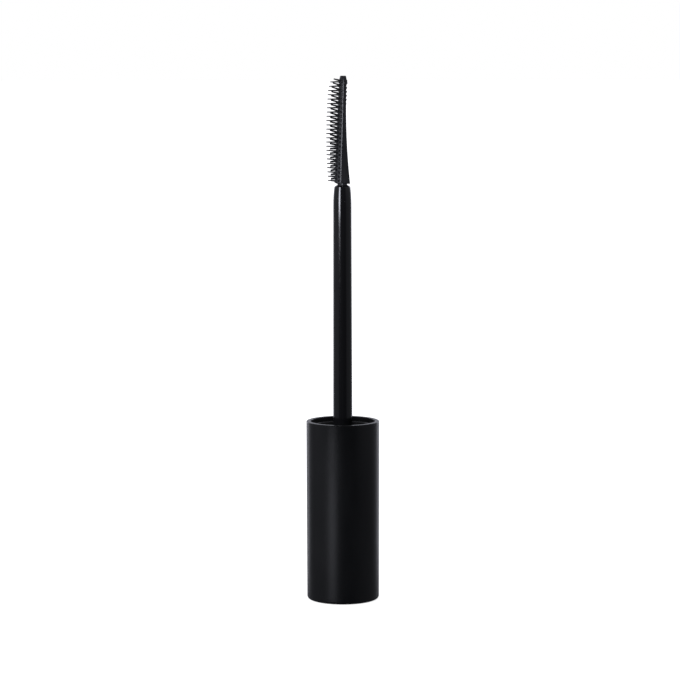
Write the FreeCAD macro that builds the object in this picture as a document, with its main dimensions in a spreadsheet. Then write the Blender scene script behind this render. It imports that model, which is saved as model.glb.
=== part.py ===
import FreeCAD, Part

import math
import os

import Sketcher

# A mascara cap with its wand, standing on the cap's closed end, wand upwards.
# Frame: millimetres, +Z along the wand, origin at the centre of the closed end's outer face.
# The comb's bristles point to -X and its smooth back faces +X.

DRIVING_SIZES = {
    # outer shell of the cap
    "cap_height": 42.1,
    "cap_mouth_radius": 8.5,
    "cap_foot_radius": 8.43,
    "cap_bore_radius": 7.5,
    "cap_end_thickness": 1.4,
    "cap_foot_round": 0.7,
    "cap_rim_round": 0.15,
    "groove_depth": 0.15,
    "groove_height": 1.4,
    "groove_below_rim": 4.4,
    "stop_rib_count": 6,
    "stop_rib_width": 0.9,
    "stop_rib_depth": 1.5,
    "stop_rib_top": 20.0,
    # threaded insert inside the shell
    "lip_below_rim": 1.0,
    "skirt_radius": 7.4,
    "thread_root_radius": 6.55,
    "thread_crest_radius": 6.05,
    "thread_pitch": 2.5,
    "thread_turns": 1.75,
    "thread_base_width": 1.3,
    "thread_crest_width": 0.6,
    "thread_start": 10.6,
    "lip_chamfer": 0.25,
    "floor_thickness": 1.5,
    "foot_band_height": 2.0,
    "snap_bead_gap": 0.1,
    "crush_rib_count": 12,
    "crush_rib_width": 0.6,
    "crush_rib_length": 12.0,
    "boss_radius": 3.6,
    "boss_length": 8.6,
    "boss_rib_width": 0.8,
    "socket_radius": 2.2,
    "socket_depth": 8.8,
    # flat seal lying on the insert's floor
    "seal_inner_radius": 3.5,
    "seal_outer_radius": 6.3,
    "seal_thickness": 0.9,
    "seal_round": 0.2,
    # wand
    "wand_length": 75.65,
    "wand_radius": 2.24,
    "wand_straight_end": 25.0,
    "wand_taper_end": 70.2,
    "wand_taper_radius": 2.13,
    "crimp_radius": 2.06,
    "crimp_height": 73.4,
    "nose_radius": 1.86,
    "nose_height": 75.3,
    "nose_hole_radius": 1.15,
    "nose_hole_depth": 6.2,
    "collar_radius": 3.3,
    "collar_height": 1.2,
    "tail_radius": 1.95,
    "tail_length": 8.4,
    "tail_point_radius": 1.5,
    "tail_point_length": 0.9,
    "barb_length": 1.2,
    "barb_pitch": 2.6,
    "barb_count": 2,
    "crimp_mark_radius": 0.2,
    "crimp_mark_depth": 0.15,
    "crimp_mark_height": 72.0,
    "crimp_mark_count": 4,
    "crimp_mark_turn": 14.0,
    # moulded comb
    "comb_gap": 0.3,
    "comb_length": 24.9,
    "comb_chamfer_height": 0.22,
    "comb_chamfer_width": 0.6,
    "comb_tip_height": 1.2,
    "comb_tip_shrink": 0.45,
    "comb_back_share": 0.66,
    "shank_length": 6.0,
    "bristle_rows": 24,
    "bristle_pitch": 0.989,
    "bristle_first": 0.74,
    "bristle_root_radius": 0.23,
    "bristle_tip_radius": 0.12,
    "short_bristles": 4,
    "bristle_shortening": 0.03,
    "side_column_angle": 40.0,
    "face_column_angle": 80.0,
    "middle_lean_low": 4.0,
    "side_lean_low": -6.0,
    "side_lean_high": 11.0,
    "lean_change_height": 8.6,
    "nub_count": 5,
    "nub_pitch": 0.9,
    "nub_radius": 0.25,
    "nub_rise": 0.2,
    "nub_below_tip": 2.8,
    "tip_pad_height": 1.4,
    "tip_pad_width": 0.8,
    "tip_pad_below_tip": 0.6,
}

# Lengthwise outlines of the comb: X at its base, at half length and at its tip.
COMB_OUTLINES = {
    "bed": (-1.83, -1.27, -0.64),
    "ridge": (-0.3, 0.06, 0.42),
    "back": (1.83, 1.0, 1.14),
    "bristle_tips": (-3.27, -3.74, -2.96),
}
PLACES_ALONG = ("at_base", "at_middle", "at_tip")
LOFT_STATIONS = 7
TIP_STATIONS = 4
TIP_POWER = 1.6

doc = FreeCAD.newDocument("MascaraCapAndWand")
sheet = doc.addObject("Spreadsheet::Sheet", "Sizes")


class Size(float):
    """A number in millimetres that carries the sheet expression it was worked out from."""

    def __new__(cls, number, text):
        size = super().__new__(cls, number)
        size.text = text
        return size

    def __add__(self, other):
        return joined(float(self) + float(other), self, "+", other)

    def __sub__(self, other):
        return joined(float(self) - float(other), self, "-", other)

    def __mul__(self, other):
        return joined(float(self) * float(other), self, "*", other)

    def __truediv__(self, other):
        return joined(float(self) / float(other), self, "/", other)

    def __neg__(self):
        return joined(-float(self), -1.0, "*", self)


def expression_of(value):
    """The sheet expression of a size, or the plain number itself."""
    return value.text if isinstance(value, Size) else repr(float(value))


def joined(number, first, sign, second):
    """A size worked out from two others, with its expression in brackets."""
    return Size(number, "({} {} {})".format(expression_of(first), sign, expression_of(second)))


def fill_sheet():
    """Write every driving size into the sheet, one named row each."""
    named = dict(DRIVING_SIZES)
    for outline, values in COMB_OUTLINES.items():
        for place, value in zip(PLACES_ALONG, values):
            named["{}_{}".format(outline, place)] = value
    for row, (alias, number) in enumerate(named.items(), start=1):
        sheet.set("A{}".format(row), alias.replace("_", " "))
        sheet.set("B{}".format(row), str(number))
        sheet.setAlias("B{}".format(row), alias)
    doc.recompute()


def size(alias):
    """The size held by one named cell of the sheet."""
    return Size(sheet.get(alias), "Sizes.{}".format(alias))


def origin_part(body, role):
    """One plane or axis of the body's own origin."""
    return next(item for item in body.Origin.OriginFeatures if item.Role == role)


def new_body(label, height):
    """An empty body whose own zero level stands at the given height above the closed end."""
    body = doc.addObject("PartDesign::Body", label + "_body")
    body.Label = label
    body.setExpression("Placement.Base.z", expression_of(height))
    return body


def new_sketch(body, name, role, lift=0.0):
    """A sketch on one of the body's origin planes, lifted along that plane's normal."""
    sketch = body.newObject("Sketcher::SketchObject", name)
    sketch.AttachmentSupport = (origin_part(body, role), "")
    sketch.MapMode = "FlatFace"
    sketch.setExpression("AttachmentOffset.Base.z", expression_of(lift))
    return sketch


def hold(sketch, kind, geometry, point, value):
    """Hold one point at a signed distance from the sketch's origin, bound to the sheet."""
    axis = {"DistanceX": -2, "DistanceY": -1}[kind]
    if float(value) == 0.0:
        sketch.addConstraint(Sketcher.Constraint("PointOnObject", geometry, point, axis))
        return
    index = sketch.addConstraint(Sketcher.Constraint(kind, -1, 1, geometry, point, float(value)))
    if isinstance(value, Size):
        sketch.setExpression("Constraints[{}]".format(index), value.text)


def straight_outline(sketch, corners):
    """A closed outline of straight edges through the corners, each corner held by two sizes."""
    points = [FreeCAD.Vector(float(across), float(up), 0) for across, up in corners]
    for start, end in zip(points, points[1:] + points[:1]):
        sketch.addGeometry(Part.LineSegment(start, end))
    count = len(points)
    for edge in range(count):
        sketch.addConstraint(Sketcher.Constraint("Coincident", edge, 2, (edge + 1) % count, 1))
    for edge, (across, up) in enumerate(corners):
        hold(sketch, "DistanceX", edge, 1, across)
        hold(sketch, "DistanceY", edge, 1, up)


def circle_outline(sketch, radius):
    """A circle about the sketch's origin."""
    sketch.addGeometry(Part.Circle(FreeCAD.Vector(0, 0, 0), FreeCAD.Vector(0, 0, 1), float(radius)))
    sketch.addConstraint(Sketcher.Constraint("Coincident", 0, 3, -1, 1))
    index = sketch.addConstraint(Sketcher.Constraint("Radius", 0, float(radius)))
    sketch.setExpression("Constraints[{}]".format(index), radius.text)


def turned(body, name, corners):
    """A solid of revolution about the body's Z axis."""
    sketch = new_sketch(body, name + "_profile", "XZ_Plane")
    straight_outline(sketch, corners)
    feature = body.newObject("PartDesign::Revolution", name)
    feature.Profile = sketch
    feature.ReferenceAxis = (sketch, ["V_Axis"])
    feature.Angle = 360.0
    return feature


def padded(body, name, corners, lift, length):
    """A straight-edged outline, raised from a level of the body by a length."""
    sketch = new_sketch(body, name + "_outline", "XY_Plane", lift)
    straight_outline(sketch, corners)
    feature = body.newObject("PartDesign::Pad", name)
    feature.Profile = sketch
    feature.setExpression("Length", expression_of(length))
    return feature


def repeated(body, name, original, count):
    """The feature repeated evenly round the body's Z axis."""
    pattern = body.newObject("PartDesign::PolarPattern", name)
    pattern.Originals = [original]
    pattern.Axis = (origin_part(body, "Z_Axis"), [""])
    pattern.Angle = 360.0
    pattern.setExpression("Occurrences", expression_of(count))
    body.Tip = pattern
    doc.recompute()
    return pattern


def rim_edges(feature, radius, height):
    """Names of the full circles of one radius at one height of the feature, about Z."""
    names = []
    for number, edge in enumerate(feature.Shape.Edges, start=1):
        curve = edge.Curve
        if not isinstance(curve, Part.Circle):
            continue
        level = curve.Center.z - feature.Shape.Placement.Base.z
        if abs(curve.Radius - float(radius)) < 1e-4 and abs(level - float(height)) < 1e-4:
            names.append("Edge{}".format(number))
    if not names:
        raise RuntimeError("no circle of radius {} at height {}".format(radius, height))
    return names


def softened(body, kind, name, rims, amount):
    """A Fillet or Chamfer of one amount on the rims (pairs of radius and height)."""
    doc.recompute()
    base = body.Tip
    names = [edge for radius, height in rims for edge in rim_edges(base, radius, height)]
    feature = body.newObject("PartDesign::" + kind, name)
    feature.Base = (base, names)
    feature.setExpression({"Fillet": "Radius", "Chamfer": "Size"}[kind], expression_of(amount))
    body.Tip = feature
    return feature


def build_outer_cap():
    """The shell: closed at the foot, open at the mouth, with a snap groove and stop ribs."""
    height = size("cap_height")
    bore = size("cap_bore_radius")
    floor_top = size("cap_end_thickness")
    groove_top = height - size("groove_below_rim")
    groove_foot = groove_top - size("groove_height")
    groove_slope = size("groove_depth")
    body = new_body("outer_cap", 0.0)
    turned(body, "Shell", [
        (0.0, 0.0),
        (size("cap_foot_radius"), 0.0),
        (size("cap_mouth_radius"), height),
        (bore, height),
        (bore, groove_top),
        (bore + groove_slope, groove_top - groove_slope),
        (bore + groove_slope, groove_foot + groove_slope),
        (bore, groove_foot),
        (bore, floor_top),
        (0.0, floor_top),
    ])
    softened(body, "Fillet", "FootRound", [(size("cap_foot_radius"), 0.0)], size("cap_foot_round"))
    rims = [(size("cap_mouth_radius"), height), (bore, height)]
    softened(body, "Fillet", "RimRound", rims, size("cap_rim_round"))
    half_width = size("stop_rib_width") / 2
    outer_face = bore + size("groove_depth")
    rib = padded(body, "StopRib", [
        (bore - size("stop_rib_depth"), -half_width),
        (outer_face, -half_width),
        (outer_face, half_width),
        (bore - size("stop_rib_depth"), half_width),
    ], floor_top, size("stop_rib_top") - floor_top)
    repeated(body, "StopRibs", rib, size("stop_rib_count"))
    return body


def build_inner_cap():
    """The threaded insert: skirt, floor, central boss with the wand's socket, snap bead."""
    lip = size("cap_height") - size("lip_below_rim") - size("stop_rib_top")
    skirt = size("skirt_radius")
    root = size("thread_root_radius")
    band = size("cap_bore_radius")
    floor_top = size("floor_thickness")
    band_top = size("foot_band_height")
    band_slope = band - skirt
    gap = size("snap_bead_gap")
    bead_top = size("cap_height") - size("groove_below_rim") - size("stop_rib_top") - gap
    bead_foot = bead_top - size("groove_height") + gap * 2
    bead_rise = band - skirt + size("groove_depth")
    socket = size("socket_radius")
    socket_end = floor_top - size("socket_depth")
    body = new_body("inner_cap", size("stop_rib_top"))
    turned(body, "Insert", [
        (0.0, -size("boss_length")),
        (size("boss_radius"), -size("boss_length")),
        (size("boss_radius"), 0.0),
        (band, 0.0),
        (band, band_top),
        (skirt, band_top + band_slope),
        (skirt, bead_foot),
        (skirt + bead_rise, bead_foot + bead_rise),
        (skirt + bead_rise, bead_top - bead_rise),
        (skirt, bead_top),
        (skirt, lip),
        (root, lip),
        (root, floor_top),
        (socket, floor_top),
        (socket, socket_end),
        (0.0, socket_end),
    ])
    softened(body, "Chamfer", "LipLeadIn", [(root, lip)], size("lip_chamfer"))
    softened(body, "Fillet", "LipRound", [(skirt, lip)], size("cap_rim_round"))
    add_boss_ribs(body)
    add_crush_ribs(body)
    add_thread(body)
    return body


def add_boss_ribs(body):
    """Three webs that tie the boss to the underside of the insert's floor."""
    half_width = size("boss_rib_width") / 2
    reach = size("cap_bore_radius") - size("stop_rib_depth") - size("snap_bead_gap") * 4
    height = size("boss_length") / 2
    rib = padded(body, "BossRib", [
        (size("socket_radius") + half_width, -half_width),
        (reach, -half_width),
        (reach, half_width),
        (size("socket_radius") + half_width, half_width),
    ], -height, height)
    repeated(body, "BossRibs", rib, Size(3, "3"))


def add_crush_ribs(body):
    """Low upright ribs on the skirt that grip the shell's bore."""
    half_width = size("crush_rib_width") / 2
    crest = size("cap_bore_radius") - size("snap_bead_gap") / 5
    rib = padded(body, "CrushRib", [
        (size("skirt_radius") - half_width, -half_width),
        (crest, -half_width),
        (crest, half_width),
        (size("skirt_radius") - half_width, half_width),
    ], size("foot_band_height") + size("crush_rib_width"), size("crush_rib_length"))
    repeated(body, "CrushRibs", rib, size("crush_rib_count"))


def add_thread(body):
    """The helical ridge that engages the bottle's neck."""
    sunk = size("thread_root_radius") + size("snap_bead_gap")
    crest = size("thread_crest_radius")
    start = size("thread_start")
    flank = (size("thread_base_width") - size("thread_crest_width")) / 2
    sketch = new_sketch(body, "Thread_profile", "XZ_Plane")
    straight_outline(sketch, [
        (sunk, start),
        (sunk, start + size("thread_base_width")),
        (crest, start + size("thread_base_width") - flank),
        (crest, start + flank),
    ])
    helix = body.newObject("PartDesign::AdditiveHelix", "Thread")
    helix.Profile = sketch
    helix.ReferenceAxis = (sketch, ["V_Axis"])
    helix.Mode = "pitch-turns-angle"
    helix.setExpression("Pitch", expression_of(size("thread_pitch")))
    helix.setExpression("Turns", expression_of(size("thread_turns")))
    body.Tip = helix


def build_sealing_ring():
    """The flat elastomer ring that the bottle's neck closes on."""
    inner = size("seal_inner_radius")
    outer = size("seal_outer_radius")
    thickness = size("seal_thickness")
    body = new_body("sealing_ring", size("stop_rib_top") + size("floor_thickness"))
    turned(body, "Ring", [(inner, 0.0), (outer, 0.0), (outer, thickness), (inner, thickness)])
    rims = [(inner, thickness), (outer, thickness)]
    softened(body, "Fillet", "RingRound", rims, size("seal_round"))
    return body


def barb_corners():
    """Corners of the barbs up the tail: each slopes out towards the wand, then steps back."""
    tail = size("tail_radius")
    crest = size("socket_radius")
    corners = []
    for number in range(int(size("barb_count")), 0, -1):
        shoulder = -size("barb_pitch") * number
        corners.append((tail, shoulder - size("barb_length")))
        corners.append((crest, shoulder))
        corners.append((tail, shoulder))
    return corners


def build_wand():
    """The stem: barbed tail, collar, long tapering rod and a closed-in nose with its hole."""
    wand = size("wand_radius")
    tail = size("tail_radius")
    length = size("wand_length")
    hole = size("nose_hole_radius")
    hole_end = length - size("nose_hole_depth")
    body = new_body("wand_stem", size("stop_rib_top") + size("floor_thickness"))
    turned(body, "Stem", [
        (0.0, -size("tail_length")),
        (size("tail_point_radius"), -size("tail_length")),
        (tail, size("tail_point_length") - size("tail_length")),
        *barb_corners(),
        (tail, 0.0),
        (size("collar_radius"), 0.0),
        (size("collar_radius"), size("collar_height")),
        (wand, size("collar_height")),
        (wand, size("wand_straight_end")),
        (size("wand_taper_radius"), size("wand_taper_end")),
        (size("crimp_radius"), size("crimp_height")),
        (size("nose_radius"), size("nose_height")),
        (hole, length),
        (hole, hole_end),
        (0.0, hole_end),
    ])
    rims = [(size("nose_radius"), size("nose_height")), (size("crimp_radius"), size("crimp_height"))]
    softened(body, "Fillet", "NoseRound", rims, size("seal_round"))
    mark = body.newObject("PartDesign::SubtractiveSphere", "CrimpMark")
    mark.setExpression("Radius", expression_of(size("crimp_mark_radius")))
    offset = size("crimp_radius") + size("crimp_mark_radius") - size("crimp_mark_depth")
    turn = math.radians(float(size("crimp_mark_turn")))
    centre = FreeCAD.Vector(offset * math.sin(turn), -offset * math.cos(turn), 0)
    mark.Placement = FreeCAD.Placement(centre, FreeCAD.Rotation())
    mark.setExpression("Placement.Base.z", expression_of(size("crimp_mark_height")))
    body.Tip = mark
    repeated(body, "CrimpMarks", mark, size("crimp_mark_count"))
    return body


def along_comb(outline, share):
    """X of a lengthwise outline at a share of the comb's length: a parabola through its three sizes."""
    base, middle, tip = (size("{}_{}".format(outline, place)) for place in PLACES_ALONG)
    bend = base * 2 + tip * 2 - middle * 4
    slope = middle * 4 - base * 3 - tip
    return base + slope * share + bend * (share * share)


def comb_section(body, name, lift, share, bed_cut, shrink):
    """One cross-section of the spine: a half-round bristle bed, sloping flanks and a flat back."""
    ridge = along_comb("ridge", share)
    bed = (ridge - along_comb("bed", share) - bed_cut) * ((shrink + 1.0) / 2)
    back = ridge + (along_comb("back", share) - ridge) * shrink
    half_back = bed * size("comb_back_share")
    sketch = new_sketch(body, name, "XY_Plane", lift)
    centre = FreeCAD.Vector(float(ridge), 0, 0)
    circle = Part.Circle(centre, FreeCAD.Vector(0, 0, 1), float(bed))
    corners = [
        centre - FreeCAD.Vector(0, float(bed), 0),
        FreeCAD.Vector(float(back), -float(half_back), 0),
        FreeCAD.Vector(float(back), float(half_back), 0),
        centre + FreeCAD.Vector(0, float(bed), 0),
    ]
    sketch.addGeometry(Part.ArcOfCircle(circle, math.pi / 2, 3 * math.pi / 2))
    for start, end in zip(corners, corners[1:]):
        sketch.addGeometry(Part.LineSegment(start, end))
    for edge in range(4):
        sketch.addConstraint(Sketcher.Constraint("Coincident", edge, 2, (edge + 1) % 4, 1))
    hold(sketch, "DistanceX", 0, 3, ridge)
    hold(sketch, "DistanceY", 0, 3, 0.0)
    radius = sketch.addConstraint(Sketcher.Constraint("Radius", 0, float(bed)))
    sketch.setExpression("Constraints[{}]".format(radius), expression_of(bed))
    sketch.addConstraint(Sketcher.Constraint("Vertical", 0, 1, 0, 3))
    sketch.addConstraint(Sketcher.Constraint("Vertical", 0, 2, 0, 3))
    for corner, half_width in ((2, -half_back), (3, half_back)):
        hold(sketch, "DistanceX", corner, 1, back)
        hold(sketch, "DistanceY", corner, 1, half_width)
    return sketch


def comb_stations():
    """Lift, share of the length, bed cut and shrink of each section, from the base to the tip."""
    length = size("comb_length")
    shoulder = length - size("comb_tip_height")
    chamfer = size("comb_chamfer_height")
    stations = [(Size(0.0, "0"), 0.0, size("comb_chamfer_width"), 1.0)]
    for number in range(LOFT_STATIONS):
        lift = chamfer + (shoulder - chamfer) * (number / (LOFT_STATIONS - 1))
        stations.append((lift, float(lift) / float(length), 0.0, 1.0))
    for number in range(1, TIP_STATIONS):
        way = number / (TIP_STATIONS - 1)
        lift = shoulder + size("comb_tip_height") * way
        shrink = size("comb_tip_shrink") * -way ** TIP_POWER + 1.0
        stations.append((lift, float(lift) / float(length), 0.0, shrink))
    return stations


def comb_height():
    """Height of the comb's base above the closed end."""
    seat = size("stop_rib_top") + size("floor_thickness")
    return seat + size("wand_length") + size("comb_gap")


def build_comb_spine():
    """The comb's curved spine and the round shank under it."""
    body = new_body("comb_spine", comb_height())
    sections = []
    for number, (lift, share, bed_cut, shrink) in enumerate(comb_stations()):
        name = "SpineSection{}".format(number)
        sections.append(comb_section(body, name, lift, share, bed_cut, shrink))
    loft = body.newObject("PartDesign::AdditiveLoft", "Spine")
    loft.Profile = sections[0]
    loft.Sections = sections[1:]
    loft.Ruled = True
    body.Tip = loft
    sketch = new_sketch(body, "Shank_outline", "XY_Plane", -size("shank_length"))
    circle_outline(sketch, size("nose_hole_radius"))
    shank = body.newObject("PartDesign::Pad", "Shank")
    shank.Profile = sketch
    length = size("shank_length") + size("comb_chamfer_height")
    shank.setExpression("Length", expression_of(length))
    body.Tip = shank
    return body


def bristle(height, angle, lean, fullness):
    """One tapering bristle, from inside the spine towards the tips' outline.

    It is turned about the ridge by its angle, leans about the middle of its free length, and
    reaches a share of the way to the outline.
    """
    share = height / size("comb_length")
    ridge = along_comb("ridge", share)
    bed = ridge - along_comb("bed", share)
    reach = (ridge - along_comb("bristle_tips", share)) * fullness
    turn = math.radians(float(angle))
    tilt = math.radians(float(lean))
    level = FreeCAD.Vector(-math.cos(turn), -math.sin(turn), 0)
    rise = FreeCAD.Vector(0, 0, math.tan(tilt))
    root = FreeCAD.Vector(float(ridge), 0, float(height))
    root += level * (float(bed) / 2) - rise * (float(reach) / 2)
    length = float(reach - bed / 2) / math.cos(tilt)
    return Part.makeCone(size("bristle_root_radius"), size("bristle_tip_radius"), length, root, level + rise)


def bristle_columns(low):
    """Angle and lean of each column about the ridge at one level, and whether it stands between the rows."""
    side = size("side_column_angle")
    face = size("face_column_angle")
    side_lean = size("side_lean_low") if low else size("side_lean_high")
    middle_lean = size("middle_lean_low") if low else 0.0
    return ((0.0, middle_lean, False), (side, side_lean, True), (-side, side_lean, True),
            (face, 0.0, False), (-face, 0.0, False))


def back_nubs():
    """The pad behind the comb's tip and the row of nubs below it, each lower than the last."""
    top = size("comb_length") - size("tip_pad_below_tip")
    middle = top - size("tip_pad_height") / 2
    surface = float(along_comb("back", middle / size("comb_length")))
    thickness = float(size("nub_rise")) * 2
    width = float(size("tip_pad_width"))
    corner = FreeCAD.Vector(surface - thickness / 2, -width / 2, float(top - size("tip_pad_height")))
    pieces = [Part.makeBox(thickness, width, float(size("tip_pad_height")), corner)]
    radius = size("nub_radius")
    for number in range(int(size("nub_count"))):
        height = size("comb_length") - size("nub_below_tip") - size("nub_pitch") * number
        surface = float(along_comb("back", height / size("comb_length")))
        rise = size("nub_rise") * (1.0 - number / (size("nub_count") + 1.0))
        root = FreeCAD.Vector(surface - float(radius), 0, float(height))
        pieces.append(Part.makeCone(float(radius), float(radius) * 0.7, float(radius + rise), root,
                                    FreeCAD.Vector(1, 0, 0)))
    return pieces


def build_bristles():
    """Every bristle and the low nubs along the back near the tip, as one group of solids."""
    pieces = []
    half_rows = 2 * int(size("bristle_rows"))
    for number in range(half_rows):
        height = size("bristle_first") + size("bristle_pitch") * (number / 2)
        short = max(0, number + 1 - half_rows + int(size("short_bristles")))
        fullness = 1.0 - float(size("bristle_shortening")) * short
        for angle, lean, between in bristle_columns(height < size("lean_change_height")):
            if between == bool(number % 2):
                pieces.append(bristle(height, angle, lean, fullness))
    pieces += back_nubs()
    group = doc.addObject("Part::Feature", "Bristles")
    group.Shape = Part.makeCompound(pieces)
    group.Placement = FreeCAD.Placement(FreeCAD.Vector(0, 0, float(comb_height())), FreeCAD.Rotation())
    return group


def build_comb():
    """The one-piece moulded comb: spine, shank and bristles fused."""
    spine = build_comb_spine()
    doc.recompute()
    comb = doc.addObject("Part::MultiFuse", "comb_brush_fused")
    comb.Shapes = [spine, build_bristles()]
    comb.Refine = False
    comb.Label = "comb_brush"
    return comb


def stop_on_failure(subparts):
    """Stop before writing anything if an object failed or a sub-part isn't a sound solid."""
    for item in doc.Objects:
        if "Invalid" in item.State or "Error" in item.State:
            raise RuntimeError("{} failed: {}".format(item.Label, item.State))
    for part in subparts:
        if part.Shape.isNull() or not part.Shape.isValid() or not part.Shape.Solids:
            raise RuntimeError("{} has no sound solid".format(part.Label))


def main():
    """Build every sub-part, check it and write it to the parts folder."""
    fill_sheet()
    subparts = [build_outer_cap(), build_inner_cap(), build_sealing_ring(), build_wand(), build_comb()]
    doc.recompute()
    stop_on_failure(subparts)
    os.makedirs("parts", exist_ok=True)
    for part in subparts:
        part.Shape.exportStep("parts/{}.step".format(part.Label))
        box = part.Shape.BoundBox
        print("{:13s} solids {:2d}  volume {:9.2f} mm3  z {:.2f} to {:.2f}".format(
            part.Label, len(part.Shape.Solids), part.Shape.Volume, box.ZMin, box.ZMax))


main()
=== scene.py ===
"""Looks of a mascara cap that stands on its closed end, with its wand and comb brush upwards.

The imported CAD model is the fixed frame: heights and radii are read from it. Inside the classes every
length is in millimetres, and each finished piece is brought to metres as its last step.
"""

from __future__ import annotations

import logging
import math
import random
from collections.abc import Callable, Iterable, Sequence
from dataclasses import dataclass
from enum import Enum

import bmesh
import bpy
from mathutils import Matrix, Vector

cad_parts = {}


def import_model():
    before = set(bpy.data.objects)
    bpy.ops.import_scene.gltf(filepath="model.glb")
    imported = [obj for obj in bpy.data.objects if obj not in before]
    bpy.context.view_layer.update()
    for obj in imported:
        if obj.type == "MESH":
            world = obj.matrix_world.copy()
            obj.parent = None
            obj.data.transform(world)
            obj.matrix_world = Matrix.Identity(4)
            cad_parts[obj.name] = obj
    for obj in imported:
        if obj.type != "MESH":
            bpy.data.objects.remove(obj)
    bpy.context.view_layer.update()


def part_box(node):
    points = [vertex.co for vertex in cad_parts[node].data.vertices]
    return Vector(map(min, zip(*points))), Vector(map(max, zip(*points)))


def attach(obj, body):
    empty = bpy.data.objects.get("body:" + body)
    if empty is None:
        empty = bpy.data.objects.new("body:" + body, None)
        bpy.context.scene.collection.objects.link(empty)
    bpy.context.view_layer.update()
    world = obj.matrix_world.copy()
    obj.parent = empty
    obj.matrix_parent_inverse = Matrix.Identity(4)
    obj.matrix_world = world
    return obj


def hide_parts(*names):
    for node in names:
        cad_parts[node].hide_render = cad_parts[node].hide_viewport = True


LOG = logging.getLogger("mascara_cap")

Socket = bpy.types.NodeSocket
Triple = tuple[float, float, float]
Colour = Triple
Pair = tuple[float, float]
Element = bmesh.types.BMVert | bmesh.types.BMEdge | bmesh.types.BMFace

MM = 0.001
LEVEL_SLACK = 0.002
GIRTH_SLACK = 0.01
WELD_GAP = 1e-5
LEVEL_FACE = 0.9
FULL_TURN = 2.0 * math.pi
QUARTER_TURN = math.pi / 2.0
FACE_SPLAY = 84.0 / 68.0
PLASTIC_INDEX = 1.5
COOL_WHITE: Colour = (0.88, 0.90, 1.0)
BLACK_PIECES = ("cap_shell", "wand_rod", "moulded_comb")


class Column(Enum):
    """The comb's columns of bristles, by the angle of their roots about the ridge, in degrees from -X."""

    FRONT_FACE = 68.0
    FRONT_SIDE = 40.0
    MIDDLE = 0.0
    BACK_SIDE = -40.0
    BACK_FACE = -68.0

    @property
    def aim(self) -> float:
        """The angle that the bristles point at; those of the outer columns splay out a little."""
        on_face = self in (Column.FRONT_FACE, Column.BACK_FACE)
        return self.value * FACE_SPLAY if on_face else self.value

    @property
    def between_rows(self) -> bool:
        """Whether the column stands half a pitch above the middle one."""
        return self in (Column.FRONT_SIDE, Column.BACK_SIDE)


@dataclass(frozen=True)
class FrameSizes:
    """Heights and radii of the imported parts, in millimetres."""

    cap_height: float
    mouth_radius: float
    lip_height: float
    boss_foot: float
    seat_height: float
    seal_top: float
    seal_radius: float
    tail_foot: float
    nose_height: float
    comb_tip: float
    shank_foot: float

    @classmethod
    def read(cls) -> FrameSizes:
        """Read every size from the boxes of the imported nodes.

        Returns:
            The sizes.
        """
        shell_low, shell_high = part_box("outer_cap")
        insert_low, insert_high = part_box("inner_cap")
        seal_low, seal_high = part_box("sealing_ring")
        wand_low, wand_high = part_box("wand_stem")
        comb_low, comb_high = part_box("comb_brush")
        return cls(
            cap_height=shell_high.z / MM,
            mouth_radius=(shell_high.x - shell_low.x) / (2.0 * MM),
            lip_height=insert_high.z / MM,
            boss_foot=insert_low.z / MM,
            seat_height=seal_low.z / MM,
            seal_top=seal_high.z / MM,
            seal_radius=(seal_high.x - seal_low.x) / (2.0 * MM),
            tail_foot=wand_low.z / MM,
            nose_height=wand_high.z / MM,
            comb_tip=comb_high.z / MM,
            shank_foot=comb_low.z / MM,
        )


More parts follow.
